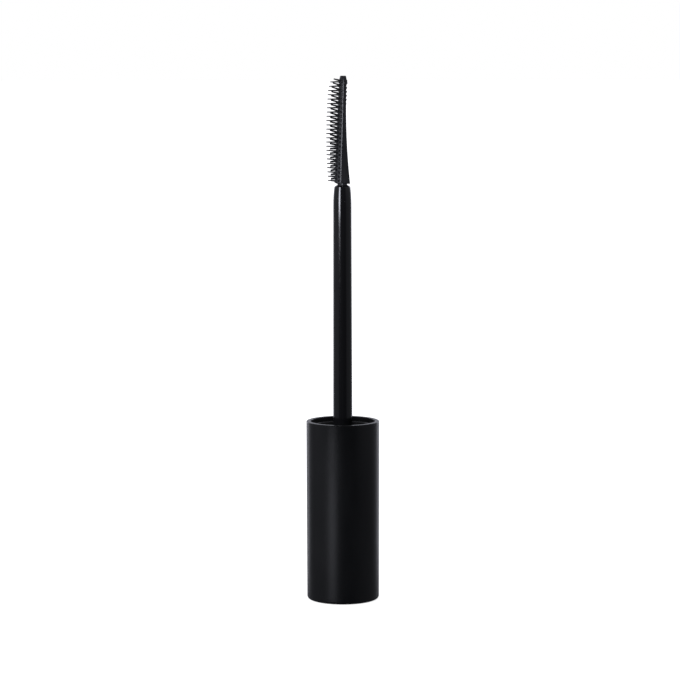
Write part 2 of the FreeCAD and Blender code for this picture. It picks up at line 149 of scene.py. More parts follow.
class Workpiece:
    """One mesh on the bench: edit-mode operators on parts that are picked by place or direction."""

    def __init__(self, name: str) -> None:
        """Take the object that a primitive operator has just added, and open it for editing.

        Args:
            name: the piece's name.
        """
        self.body: bpy.types.Object = bpy.context.object
        self.body.name = name
        bpy.ops.object.mode_set(mode="EDIT")
        bpy.ops.mesh.select_all(action="DESELECT")

    @classmethod
    def start(cls, name: str, primitive: Callable[..., set[str]], **settings: object) -> Workpiece:
        """Add a primitive with nothing else selected, settle it in its place and open it for editing.

        Args:
            name: the piece's name.
            primitive: the operator that adds it.
            **settings: the operator's own settings.

        Returns:
            The primitive, open for editing.
        """
        bpy.ops.object.select_all(action="DESELECT")
        primitive(**settings)
        settle()
        return cls(name)

    @classmethod
    def rod(cls, name: str, radius: float, foot: float, top: float, sides: int = 96) -> Workpiece:
        """Start from an upright round bar with closed ends.

        Args:
            name: the piece's name.
            radius: the bar's radius.
            foot: height of its lower end.
            top: height of its upper end.
            sides: how many flats make the round.

        Returns:
            The bar, open for editing.
        """
        return cls.start(name, bpy.ops.mesh.primitive_cylinder_add, vertices=sides, radius=radius,
                         depth=top - foot, location=(0.0, 0.0, (foot + top) / 2.0))

    @classmethod
    def block(cls, name: str, low: Sequence[float], high: Sequence[float]) -> Workpiece:
        """Start from a square block between two corners.

        Args:
            name: the piece's name.
            low: its lowest corner.
            high: its highest corner.

        Returns:
            The block, open for editing.
        """
        centre = [(a + b) / 2.0 for a, b in zip(low, high)]
        bpy.ops.object.select_all(action="DESELECT")
        bpy.ops.mesh.primitive_cube_add(size=1.0, location=centre)
        bpy.context.object.scale = [b - a for a, b in zip(low, high)]
        settle()
        return cls(name)

    @classmethod
    def pin(cls, name: str, root_radius: float, tip_radius: float, length: float, sides: int) -> Workpiece:
        """Start from an upright taper that stands on the origin.

        Args:
            name: the piece's name.
            root_radius: radius at the origin.
            tip_radius: radius at the top.
            length: its height.
            sides: how many flats make the round.

        Returns:
            The taper, open for editing.
        """
        return cls.start(name, bpy.ops.mesh.primitive_cone_add, vertices=sides, radius1=root_radius,
                         radius2=tip_radius, depth=length, location=(0.0, 0.0, length / 2.0))

    def pick(self, mode: str, choose: Callable[[bmesh.types.BMesh], Iterable[Element]]) -> Workpiece:
        """Select only some elements of the mesh.

        Args:
            mode: the select mode, FACE, EDGE or VERT.
            choose: gives the elements to select, from the open mesh.

        Returns:
            The same piece.
        """
        bpy.ops.mesh.select_mode(type=mode)
        bpy.ops.mesh.select_all(action="DESELECT")
        mesh = bmesh.from_edit_mesh(self.body.data)
        for element in choose(mesh):
            element.select_set(True)
        bmesh.update_edit_mesh(self.body.data)
        return self

    def pick_faces(self, test: Callable[[Vector, Vector], bool]) -> Workpiece:
        """Select only the faces whose centre and outward normal pass the test."""
        return self.pick("FACE", lambda mesh: [face for face in mesh.faces
                                               if test(face.calc_center_median(), face.normal)])

    def pick_edges(self, test: Callable[[Vector, Vector], bool]) -> Workpiece:
        """Select only the edges whose two ends pass the test."""
        return self.pick("EDGE", lambda mesh: [edge for edge in mesh.edges
                                               if test(edge.verts[0].co, edge.verts[1].co)])

    def pick_points(self, test: Callable[[Vector], bool]) -> Workpiece:
        """Select only the points that pass the test."""
        return self.pick("VERT", lambda mesh: [point for point in mesh.verts if test(point.co)])

    def pick_all(self) -> Workpiece:
        """Select every point of the mesh."""
        return self.pick_points(lambda point: True)

    def pick_rim(self, radius: float, height: float) -> Workpiece:
        """Select the ring of edges of one radius at one height.

        Args:
            radius: the ring's radius.
            height: the ring's height.

        Returns:
            The same piece.
        """
        return self.pick_edges(lambda a, b: on_ring(a, radius, height) and on_ring(b, radius, height))

    def slice_at(self, heights: Iterable[float]) -> Workpiece:
        """Cut a level ring of edges right round the whole piece at each height.

        Args:
            heights: the heights of the cuts.

        Returns:
            The same piece.
        """
        for height in heights:
            bpy.ops.mesh.select_mode(type="FACE")
            bpy.ops.mesh.select_all(action="SELECT")
            self.slice_picked(height)
        return self

    def slice_picked(self, height: float) -> Workpiece:
        """Cut a level ring of edges round the selected faces only."""
        bpy.ops.mesh.bisect(plane_co=(0.0, 0.0, height), plane_no=(0.0, 0.0, 1.0), threshold=WELD_GAP)
        return self

    def inset(self, thickness: float) -> Workpiece:
        """Draw the selected faces in by a thickness."""
        bpy.ops.mesh.inset(thickness=thickness, use_even_offset=True)
        return self

    def extrude(self, rise: float) -> Workpiece:
        """Extrude the selected faces straight up, or down if the rise is negative."""
        bpy.ops.mesh.extrude_region_move(TRANSFORM_OT_translate={"value": (0.0, 0.0, rise)})
        return self

    def swell(self, amount: float) -> Workpiece:
        """Extrude the selected faces along their normals."""
        bpy.ops.mesh.extrude_region_shrink_fatten(TRANSFORM_OT_shrink_fatten={"value": amount})
        return self

    def resize(self, across: float, deep: float, tall: float, centre: Sequence[float]) -> Workpiece:
        """Scale the selection about a centre."""
        bpy.ops.transform.resize(value=(across, deep, tall), center_override=tuple(centre))
        return self

    def move(self, across: float = 0.0, deep: float = 0.0, tall: float = 0.0) -> Workpiece:
        """Move the selection."""
        bpy.ops.transform.translate(value=(across, deep, tall))
        return self

    def bevel(self, width: float, segments: int) -> Workpiece:
        """Round the selected edges."""
        bpy.ops.mesh.bevel(offset=width, segments=segments, profile=0.5, affect="EDGES", clamp_overlap=True)
        return self

    def girth(self, height: float, now: float, wanted: float) -> Workpiece:
        """Bring the ring of points of one radius at one height to another radius.

        Args:
            height: the ring's height.
            now: the radius that it has.
            wanted: the radius that it gets.

        Returns:
            The same piece.
        """
        self.pick_points(lambda point: on_ring(point, now, height))
        factor = wanted / now
        return self.resize(factor, factor, 1.0, (0.0, 0.0, height))

    def close(self, sharp_angle: float = 30.0) -> bpy.types.Object:
        """Leave edit mode with faces outwards and shading smooth except over sharp edges.

        Args:
            sharp_angle: the angle in degrees past which an edge stays sharp.

        Returns:
            The finished object.
        """
        bpy.ops.mesh.select_mode(type="VERT")
        bpy.ops.mesh.select_all(action="SELECT")
        bpy.ops.mesh.remove_doubles(threshold=WELD_GAP)
        bpy.ops.mesh.normals_make_consistent(inside=False)
        bpy.ops.mesh.select_all(action="DESELECT")
        bpy.ops.object.mode_set(mode="OBJECT")
        select_only([self.body])
        bpy.ops.object.shade_smooth_by_angle(angle=math.radians(sharp_angle))
        return self.body


def girth_of(point: Vector) -> float:
    """Distance of a point from the Z axis."""
    return math.hypot(point.x, point.y)


def on_ring(point: Vector, radius: float, height: float) -> bool:
    """Whether a point lies on the level ring of a radius at a height."""
    return abs(point.z - height) < LEVEL_SLACK and abs(girth_of(point) - radius) < GIRTH_SLACK


def settle() -> None:
    """Bring the place, turn and scale of the selected objects into their meshes."""
    bpy.ops.object.transform_apply(location=True, rotation=True, scale=True)


def select_only(objects: Sequence[bpy.types.Object]) -> None:
    """Select these objects and nothing else, with the first one active.

    Args:
        objects: the objects, at least one.
    """
    bpy.ops.object.select_all(action="DESELECT")
    for item in objects:
        item.select_set(True)
    bpy.context.view_layer.objects.active = objects[0]


def copy_of(original: bpy.types.Object) -> bpy.types.Object:
    """A copy of an object, with its own mesh.

    Args:
        original: the object.

    Returns:
        The copy, selected and active.
    """
    select_only([original])
    bpy.ops.object.duplicate(linked=False)
    return bpy.context.object


def joined(name: str, objects: Sequence[bpy.types.Object]) -> bpy.types.Object:
    """Apply every object's place, join them all and name the result; each keeps its own shading.

    Args:
        name: the name of the result and of its mesh.
        objects: the objects, at least one.

    Returns:
        The one object that they become.
    """
    select_only(objects)
    settle()
    if len(objects) > 1:
        bpy.ops.object.join()
    piece = bpy.context.object
    piece.name = name
    piece.data.name = name
    return piece


def spread_round(original: bpy.types.Object, count: int) -> list[bpy.types.Object]:
    """The object and its copies, spaced evenly round the Z axis.

    Args:
        original: the object, already in its first place.
        count: how many there are in all.

    Returns:
        All of them.
    """
    pieces = [original]
    for number in range(1, count):
        other = copy_of(original)
        other.rotation_euler.z = FULL_TURN * number / count
        pieces.append(other)
    return pieces


def to_metres(piece: bpy.types.Object) -> None:
    """Bring a finished piece from millimetres to metres, in its mesh.

    Args:
        piece: the piece.
    """
    select_only([piece])
    piece.scale = (MM, MM, MM)
    settle()


class NodeBench:
    """A node tree, with short calls that add and wire its nodes."""

    def __init__(self, tree: bpy.types.NodeTree) -> None:
        """Empty a tree and start on it.

        Args:
            tree: a material's or the surroundings' tree.
        """
        self.tree = tree
        self.tree.nodes.clear()

    def add(self, kind: str, **settings: object) -> bpy.types.Node:
        """Add a node and set its own properties.

        Args:
            kind: the node's type.
            **settings: its properties.

        Returns:
            The node.
        """
        node = self.tree.nodes.new(kind)
        for name, value in settings.items():
            setattr(node, name, value)
        return node

    def wire(self, source: Socket, target: Socket) -> None:
        """Link an output to an input."""
        self.tree.links.new(source, target)

    def split(self, vector: Socket) -> bpy.types.NodeOutputs:
        """The three parts of a vector, under X, Y and Z.

        Args:
            vector: the vector.

        Returns:
            Its parts, to be read by name.
        """
        node = self.add("ShaderNodeSeparateXYZ")
        self.wire(vector, node.inputs["Vector"])
        return node.outputs

    def sum_of(self, first: Socket, second: Socket | float, operation: str = "ADD") -> Socket:
        """Combine two values with one Math operation.

        Args:
            first: the first value.
            second: the second one, an output or a plain number.
            operation: the name of the operation.

        Returns:
            The result.
        """
        node = self.add("ShaderNodeMath", operation=operation)
        self.wire(first, node.inputs[0])
        if isinstance(second, Socket):
            self.wire(second, node.inputs[1])
        else:
            node.inputs[1].default_value = second
        return node.outputs["Value"]

    def ranged(self, value: Socket, lows: Pair, highs: Pair) -> Socket:
        """Map a value from one range to another, clamped, with soft ends.

        Args:
            value: the value.
            lows: the low end of the first range and what it becomes.
            highs: the high end of the first range and what it becomes.

        Returns:
            The mapped value.
        """
        node = self.add("ShaderNodeMapRange", interpolation_type="SMOOTHSTEP", clamp=True)
        node.inputs["From Min"].default_value = lows[0]
        node.inputs["To Min"].default_value = lows[1]
        node.inputs["From Max"].default_value = highs[0]
        node.inputs["To Max"].default_value = highs[1]
        self.wire(value, node.inputs["Value"])
        return node.outputs["Result"]

    def share(self, value: Socket, span: Pair) -> Socket:
        """How far a value is through a span, from 0 to 1, with soft ends."""
        return self.ranged(value, (span[0], 0.0), (span[1], 1.0))

    def part_of(self, amount: float, share: Socket) -> Socket:
        """The part of an amount that a share from 0 to 1 gives, with soft ends."""
        return self.ranged(share, (0.0, 0.0), (1.0, amount))

    def graded(self, value: Socket, stops: Sequence[Pair]) -> Socket:
        """Read a value off a scale of greys.

        Args:
            value: a value from 0 to 1.
            stops: places on the scale, in rising order, and the grey at each.

        Returns:
            The grey at the value.
        """
        scale = self.add("ShaderNodeValToRGB")
        marks = scale.color_ramp.elements
        while len(marks) < len(stops):
            marks.new(0.5)
        for mark, (place, grey) in zip(marks, stops):
            mark.position = place
            mark.color = (grey, grey, grey, 1.0)
        self.wire(value, scale.inputs["Fac"])
        return scale.outputs["Color"]

    def blend(self, factor: Socket, first: Colour, second: Colour) -> Socket:
        """A colour between two, by a factor from 0 to 1.

        Args:
            factor: the factor.
            first: the colour at 0.
            second: the colour at 1.

        Returns:
            The colour.
        """
        node = self.add("ShaderNodeMix", data_type="RGBA")
        node.inputs["A"].default_value = (*first, 1.0)
        node.inputs["B"].default_value = (*second, 1.0)
        self.wire(factor, node.inputs["Factor"])
        return node.outputs["Result"]


class MaterialBench(NodeBench):
    """A material in the making, patterned by place on the object."""

    def __init__(self, name: str) -> None:
        """Start a material.

        Args:
            name: the material's name.
        """
        self.material: bpy.types.Material = bpy.data.materials.new(name)
        self.material.use_nodes = True
        super().__init__(self.material.node_tree)
        self.place = self.add("ShaderNodeTexCoord").outputs["Object"]

    def noise(self, stretch: Sequence[float], detail: float = 2.0, roughness: float = 0.5) -> Socket:
        """Noise over the object, in waves per metre along each axis.

        Args:
            stretch: waves per metre along X, Y and Z.
            detail: how many finer layers are added.
            roughness: how strong the finer layers are.

        Returns:
            The noise, from 0 to 1.
        """
        mapping = self.add("ShaderNodeMapping")
        mapping.inputs["Scale"].default_value = tuple(stretch)
        self.wire(self.place, mapping.inputs["Vector"])
        noise = self.add("ShaderNodeTexNoise")
        noise.inputs["Scale"].default_value = 1.0
        noise.inputs["Detail"].default_value = detail
        noise.inputs["Roughness"].default_value = roughness
        self.wire(mapping.outputs["Vector"], noise.inputs["Vector"])
        return noise.outputs["Fac"]

    def height(self) -> Socket:
        """Height above the closed end, in metres."""
        return self.split(self.place)["Z"]

    def bump(self, value: Socket, depth: float, strength: float) -> Socket:
        """Relief from a value, as deep as stated in metres.

        Args:
            value: the value.
            depth: the relief's depth.
            strength: how much of it shows.

        Returns:
            The bent normal.
        """
        node = self.add("ShaderNodeBump")
        node.inputs["Strength"].default_value = strength
        node.inputs["Distance"].default_value = depth
        self.wire(value, node.inputs["Height"])
        return node.outputs["Normal"]

    def plastic(self, colour: Socket, roughness: Socket, normal: Socket,
                reflectance: float) -> bpy.types.Material:
        """Finish the material with one plastic or rubber shader.

        Args:
            colour: the base colour.
            roughness: the roughness.
            normal: the relief.
            reflectance: the specular level.

        Returns:
            The material.
        """
        shader = self.add("ShaderNodeBsdfPrincipled")
        shader.inputs["Specular IOR Level"].default_value = reflectance
        shader.inputs["IOR"].default_value = PLASTIC_INDEX
        self.wire(colour, shader.inputs["Base Color"])
        self.wire(roughness, shader.inputs["Roughness"])
        self.wire(normal, shader.inputs["Normal"])
        return self.finish(shader.outputs["BSDF"])

    def finish(self, surface: Socket) -> bpy.types.Material:
        """Wire the surface to the material's output.

        Args:
            surface: the shader that the material shows.

        Returns:
            The material.
        """
        output = self.add("ShaderNodeOutputMaterial")
        self.wire(surface, output.inputs["Surface"])
        return self.material


@dataclass(frozen=True)
class SoftTouchShell:
    """Satin black lacquered shell: fine eggshell grain, faint handling marks, polished edges."""

    cap_height: float
    dark: Colour = (0.0085, 0.0088, 0.0098)
    worn: Colour = (0.0125, 0.0128, 0.014)
    satin: float = 0.38
    handled: float = 0.33
    handled_length: float = 12.0
    grain_waves: float = 7000.0
    grain_depth: float = 0.000003
    grain_strength: float = 0.4
    mark_waves: float = 170.0
    mark_stretch: float = 0.35
    mark_detail: float = 4.0
    mark_span: Pair = (0.40, 0.75)
    mark_matt: float = 0.03
    edge_width: float = 0.5
    edge_polish: float = 0.12
    reflectance: float = 0.24

    def material(self) -> bpy.types.Material:
        """Build the shell's material.

        Returns:
            The material.
        """
        bench = MaterialBench("satin_soft_touch_black")
        grain = bench.noise([self.grain_waves] * 3)
        marks = bench.noise([self.mark_waves, self.mark_waves, self.mark_waves * self.mark_stretch],
                            self.mark_detail)
        cloud = bench.share(marks, self.mark_span)
        level = bench.height()
        mouth = self.cap_height * MM
        edge = self.edge_width * MM
        rim = bench.share(level, (mouth - edge, mouth))
        foot = bench.ranged(level, (0.0, 1.0), (edge, 0.0))
        edges = bench.sum_of(rim, foot, "MAXIMUM")
        colour = bench.blend(bench.sum_of(cloud, edges, "MAXIMUM"), self.dark, self.worn)
        matt = bench.ranged(level, (mouth - self.handled_length * MM, self.satin), (mouth, self.handled))
        marked = bench.sum_of(matt, bench.part_of(self.mark_matt, cloud))
        rough = bench.sum_of(marked, bench.part_of(self.edge_polish, edges), "SUBTRACT")
        relief = bench.bump(grain, self.grain_depth, self.grain_strength)
        return bench.plastic(colour, rough, relief, self.reflectance)


@dataclass(frozen=True)
class MouldedInsert:
    """Plain black polypropylene: waxy, with faint upright flow lines from its mould."""

    dark: Colour = (0.005, 0.005, 0.0055)
    light: Colour = (0.010, 0.010, 0.011)
    flow_waves: float = 1400.0
    flow_stretch: float = 0.04
    flow_detail: float = 3.0
    flow_depth: float = 0.000003
    flow_strength: float = 0.3
    grain_waves: float = 5600.0
    rough_low: Pair = (0.2, 0.24)
    rough_high: Pair = (0.8, 0.34)
    reflectance: float = 0.5

    def material(self) -> bpy.types.Material:
        """Build the insert's material.

        Returns:
            The material.
        """
        bench = MaterialBench("moulded_black_polypropylene")
        flow = bench.noise([self.flow_waves, self.flow_waves, self.flow_waves * self.flow_stretch],
                           self.flow_detail)
        grain = bench.noise([self.grain_waves] * 3)
        colour = bench.blend(flow, self.dark, self.light)
        rough = bench.ranged(grain, self.rough_low, self.rough_high)
        relief = bench.bump(flow, self.flow_depth, self.flow_strength)
        return bench.plastic(colour, rough, relief, self.reflectance)


@dataclass(frozen=True)
class SealRubber:
    """Soft dark grey elastomer with a dusty, pitted face."""

    dark: Colour = (0.018, 0.018, 0.019)
    dusty: Colour = (0.04, 0.04, 0.042)
    dust_waves: float = 416.0
    dust_detail: float = 3.0
    dust_span: Pair = (0.4, 0.75)
    pit_waves: float = 5200.0
    pit_detail: float = 4.0
    pit_coarseness: float = 0.7
    pit_depth: float = 0.000006
    pit_strength: float = 0.5
    rough_low: Pair = (0.2, 0.62)
    rough_high: Pair = (0.8, 0.8)
    reflectance: float = 0.35

    def material(self) -> bpy.types.Material:
        """Build the seal's material.

        Returns:
            The material.
        """
        bench = MaterialBench("soft_seal_elastomer")
        pits = bench.noise([self.pit_waves] * 3, self.pit_detail, self.pit_coarseness)
        dust = bench.noise([self.dust_waves] * 3, self.dust_detail)
        colour = bench.blend(bench.share(dust, self.dust_span), self.dark, self.dusty)
        rough = bench.ranged(pits, self.rough_low, self.rough_high)
        relief = bench.bump(pits, self.pit_depth, self.pit_strength)
        return bench.plastic(colour, rough, relief, self.reflectance)


@dataclass(frozen=True)
class PolishedRod:
    """Glossy black rod: fine lengthwise drawing lines, and a nose that is polished further."""

    nose_height: float
    dark: Colour = (0.0035, 0.0035, 0.004)
    light: Colour = (0.006, 0.006, 0.0065)
    line_waves: float = 3000.0
    line_stretch: float = 0.01
    line_depth: float = 0.000001
    line_strength: float = 0.3
    speck_waves: float = 1700.0
    speck_low: Pair = (0.5, 0.0)
    speck_high: Pair = (0.85, 0.05)
    body_rough: float = 0.14
    nose_rough: float = 0.09
    nose_length: float = 14.0
    polished_length: float = 3.0
    reflectance: float = 0.5

    def material(self) -> bpy.types.Material:
        """Build the rod's material.

        Returns:
            The material.
        """
        bench = MaterialBench("polished_black_rod")
        lines = bench.noise([self.line_waves, self.line_waves, self.line_waves * self.line_stretch])
        specks = bench.noise([self.speck_waves] * 3)
        nose = self.nose_height * MM
        gloss = bench.ranged(bench.height(), (nose - self.nose_length * MM, self.body_rough),
                             (nose - self.polished_length * MM, self.nose_rough))
        rough = bench.sum_of(gloss, bench.ranged(specks, self.speck_low, self.speck_high))
        colour = bench.blend(lines, self.dark, self.light)
        relief = bench.bump(lines, self.line_depth, self.line_strength)
        return bench.plastic(colour, rough, relief, self.reflectance)


@dataclass(frozen=True)
class CombElastomer:
    """Satin black moulded elastomer with a fine skin; bristles that stand far aside get painted shade in
    their colour and are rougher.
    """

    dark: Colour = (0.010, 0.0102, 0.0115)
    light: Colour = (0.022, 0.0223, 0.0245)
    skin_waves: float = 5000.0
    skin_depth: float = 0.000002
    skin_strength: float = 0.3
    rough_low: Pair = (0.2, 0.30)
    rough_high: Pair = (0.8, 0.38)
    cloud_waves: Triple = (420.0, 420.0, 160.0)
    cloud_detail: float = 3.0
    cloud_span: Pair = (0.3, 0.7)
    tip_shade_from: float = 1.7
    tip_shade_full: float = 2.6
    tips_rough: float = 0.35
    reflectance: float = 0.5

    def material(self) -> bpy.types.Material:
        """Build the comb's material.

        Returns:
            The material.
        """
        bench = MaterialBench("moulded_comb_elastomer")
        skin = bench.noise([self.skin_waves] * 3)
        cloud = bench.noise(self.cloud_waves, self.cloud_detail)
        # Painted shade: the colour darkens on bristle ends that stand far out along Y. This stands in for the
        # shade on and between the end-on bristles. These ends are also made rougher.
        deep = bench.split(bench.place)["Y"]
        aside = bench.sum_of(bench.sum_of(deep, deep, "MULTIPLY"), 0.5, "POWER")
        tips = bench.share(aside, (self.tip_shade_from * MM, self.tip_shade_full * MM))
        # Random cloud tone, less the painted tip shade.
        worn = bench.sum_of(bench.share(cloud, self.cloud_span), tips, "SUBTRACT")
        colour = bench.blend(worn, self.dark, self.light)
        rough = bench.sum_of(bench.ranged(skin, self.rough_low, self.rough_high),
                             bench.part_of(self.tips_rough, tips))
        relief = bench.bump(skin, self.skin_depth, self.skin_strength)
        return bench.plastic(colour, rough, relief, self.reflectance)


@dataclass
class CapShell:
    """The cap's outer shell: a closed foot, a straight wall, a snap groove and stop ribs inside."""

    sizes: FrameSizes
    foot_radius: float = 8.43
    bore_radius: float = 7.5
    end_thickness: float = 1.4
    foot_round: float = 0.7
    rim_round: float = 0.15
    groove_depth: float = 0.15
    groove_levels: Pair = (36.3, 37.7)
    rib_count: int = 6
    rib_width: float = 0.9
    rib_depth: float = 1.5
    rib_top: float = 20.0
    rib_bite: float = 0.1
    rib_round: float = 0.15
    sides: int = 192

    def build(self) -> bpy.types.Object:
        """Model the shell and its ribs as one piece."""
        parts = [self.wall(), *spread_round(self.rib(), self.rib_count)]
        return joined("cap_shell", parts)

    def wall(self) -> bpy.types.Object:
        """Hollow the shell out of a round bar, groove its bore and round its edges.

        Returns:
            The wall, with its closed end.
        """
        top = self.sizes.cap_height
        radius = self.sizes.mouth_radius
        shell = Workpiece.rod("cap_wall", radius, 0.0, top, self.sides)
        shell.girth(0.0, radius, self.foot_radius)
        shell.pick_faces(lambda centre, normal: normal.z > LEVEL_FACE)
        shell.inset(radius - self.bore_radius)
        shell.extrude(self.end_thickness - top)
        self.cut_groove(shell)
        shell.pick_rim(self.foot_radius, 0.0).bevel(self.foot_round, segments=8)
        for rim in (radius, self.bore_radius):
            shell.pick_rim(rim, top).bevel(self.rim_round, segments=4)
        return shell.close()

    def cut_groove(self, shell: Workpiece) -> None:
        """Cut the snap groove round the bore, just inside the mouth.

        Args:
            shell: the hollow shell.
        """
        foot, top = self.groove_levels
        slope = self.groove_depth
        for height in (foot, foot + slope, top - slope, top):
            shell.pick_faces(lambda centre, normal: centre.x * normal.x + centre.y * normal.y < -1.0)
            shell.slice_picked(height)
        for height in (foot + slope, top - slope):
            shell.girth(height, self.bore_radius, self.bore_radius + self.groove_depth)

    def rib(self) -> bpy.types.Object:
        """One upright rib that the insert's floor rests on.

        Returns:
            The rib, on the side of +X.
        """
        half = self.rib_width / 2.0
        low = (self.bore_radius - self.rib_depth, -half, self.end_thickness - self.rib_bite)
        rib = Workpiece.block("stop_rib", low, (self.bore_radius + self.rib_bite, half, self.rib_top))
        rib.pick_edges(lambda a, b: max(a.x, b.x) < self.bore_radius - self.rib_depth / 2.0)
        rib.bevel(self.rib_round, segments=2)
        return rib.close()


@dataclass
class ThreadedInsert:
    """The insert in the shell: skirt, neck thread, floor and the boss that takes the wand's tail."""

    sizes: FrameSizes
    skirt_radius: float = 7.4
    band_radius: float = 7.5
    bead_radius: float = 7.65
    root_radius: float = 6.55
    crest_radius: float = 6.05
    floor_height: float = 20.0
    band_height: float = 2.0
    band_slope: float = 0.1
    bead_levels: Pair = (36.4, 37.6)
    bead_slope: float = 0.25
    boss_radius: float = 3.6
    socket_radius: float = 2.2
    socket_foot: float = 12.7
    thread_foot: float = 30.6
    thread_pitch: float = 2.5
    thread_turns: float = 1.75
    thread_width: float = 1.3
    crest_width: float = 0.6
    thread_bite: float = 0.1
    thread_steps: int = 72
    inner_lip_round: float = 0.25
    outer_lip_round: float = 0.15
    crush_rib_count: int = 12
    crush_rib_width: float = 0.6
    crush_rib_length: float = 12.0
    crush_rib_gap: float = 0.02
    crush_rib_round: float = 0.05
    sides: int = 144

    def build(self) -> bpy.types.Object:
        """Model the insert and its thread as one piece."""
        ribs = spread_round(self.crush_rib(), self.crush_rib_count)
        return joined("threaded_insert", [self.cup(), self.thread(), *ribs])

    def cup(self) -> bpy.types.Object:
        """Hollow the skirt from above, draw the boss out below, and shape the bands and the lip.

        Returns:
            The insert without its thread and ribs.
        """
        lip = self.sizes.lip_height
        cup = Workpiece.rod("insert_cup", self.skirt_radius, self.floor_height, lip, self.sides)
        bead_foot, bead_top = self.bead_levels
        band_top = self.floor_height + self.band_height
        cup.slice_at((band_top, band_top + self.band_slope, bead_foot, bead_foot + self.bead_slope,
                      bead_top - self.bead_slope, bead_top))
        for height in (self.floor_height, band_top):
            cup.girth(height, self.skirt_radius, self.band_radius)
        for height in (bead_foot + self.bead_slope, bead_top - self.bead_slope):
            cup.girth(height, self.skirt_radius, self.bead_radius)
        cup.pick_faces(lambda centre, normal: normal.z > LEVEL_FACE)
        cup.inset(self.skirt_radius - self.root_radius)
        cup.extrude(self.sizes.seat_height - lip)
        cup.inset(self.root_radius - self.socket_radius)
        cup.extrude(self.socket_foot - self.sizes.seat_height)
        cup.pick_faces(lambda centre, normal: normal.z < -LEVEL_FACE
                       and centre.z < self.floor_height + LEVEL_SLACK)
        cup.inset(self.band_radius - self.boss_radius)
        cup.extrude(self.sizes.boss_foot - self.floor_height)
        cup.pick_rim(self.root_radius, lip).bevel(self.inner_lip_round, segments=3)
        cup.pick_rim(self.skirt_radius, lip).bevel(self.outer_lip_round, segments=3)
        return cup.close()

    def thread(self) -> bpy.types.Object:
        """Sweep the thread's ridge up the skirt's inside.

        Returns:
            The thread, with its root a little inside the wall and its two ends closed.
        """
        middle = self.thread_foot + self.thread_width / 2.0
        buried = self.root_radius + self.thread_bite
        ridge = Workpiece.start("neck_thread", bpy.ops.mesh.primitive_plane_add, size=1.0,
                                location=(0.0, 0.0, 0.0), rotation=(QUARTER_TURN, 0.0, 0.0))
        ridge.pick_all().resize(buried - self.crest_radius, 1.0, self.thread_width, (0.0, 0.0, 0.0))
        ridge.move((buried + self.crest_radius) / 2.0, 0.0, middle)
        ridge.pick_points(lambda point: point.x < self.root_radius)
        ridge.resize(1.0, 1.0, self.crest_width / self.thread_width, (0.0, 0.0, middle))
        bpy.ops.mesh.select_all(action="SELECT")
        bpy.ops.mesh.delete(type="ONLY_FACE")
        bpy.ops.object.mode_set(mode="OBJECT")
        screw = ridge.body.modifiers.new("turns", "SCREW")
        screw.angle = FULL_TURN * self.thread_turns
        screw.screw_offset = self.thread_pitch * self.thread_turns
        screw.steps = screw.render_steps = int(self.thread_steps * self.thread_turns)
        screw.use_merge_vertices = False
        bpy.ops.object.modifier_apply(modifier="turns")
        bpy.ops.object.mode_set(mode="EDIT")
        bpy.ops.mesh.select_mode(type="EDGE")
        bpy.ops.mesh.select_all(action="DESELECT")
        bpy.ops.mesh.select_non_manifold()
        bpy.ops.mesh.fill_holes(sides=4)
        return ridge.close(sharp_angle=40.0)

    def crush_rib(self) -> bpy.types.Object:
        """One low upright rib that grips the shell's bore.

        Returns:
            The rib, on the side of +X.
        """
        half = self.crush_rib_width / 2.0
        foot = self.floor_height + self.band_height + self.crush_rib_width
        low = (self.skirt_radius - half, -half, foot)
        high = (self.band_radius - self.crush_rib_gap, half, foot + self.crush_rib_length)
        rib = Workpiece.block("crush_rib", low, high)
        rib.pick_edges(lambda a, b: min(a.x, b.x) > self.skirt_radius)
        rib.bevel(self.crush_rib_round, segments=2)
        return rib.close()


@dataclass
class SealingRing:
    """The flat ring on the insert's floor that the bottle's neck closes on."""

    sizes: FrameSizes
    inner_radius: float = 3.5
    edge_round: float = 0.2
    sides: int = 96

    def build(self) -> bpy.types.Object:
        """Spread a flat ring from a circle, thicken it and round its upper edges.

        Returns:
            The ring.
        """
        foot = self.sizes.seat_height
        top = self.sizes.seal_top
        ring = Workpiece.start("sealing_ring_body", bpy.ops.mesh.primitive_circle_add, vertices=self.sides,
                               radius=self.inner_radius, location=(0.0, 0.0, foot))
        ring.pick_edges(lambda a, b: True)
        bpy.ops.mesh.extrude_edges_move()
        factor = self.sizes.seal_radius / self.inner_radius
        ring.resize(factor, factor, 1.0, (0.0, 0.0, foot))
        ring.pick_faces(lambda centre, normal: True)
        ring.extrude(top - foot)
        for radius in (self.inner_radius, self.sizes.seal_radius):
            ring.pick_rim(radius, top).bevel(self.edge_round, segments=4)
        return joined("neck_seal", [ring.close()])


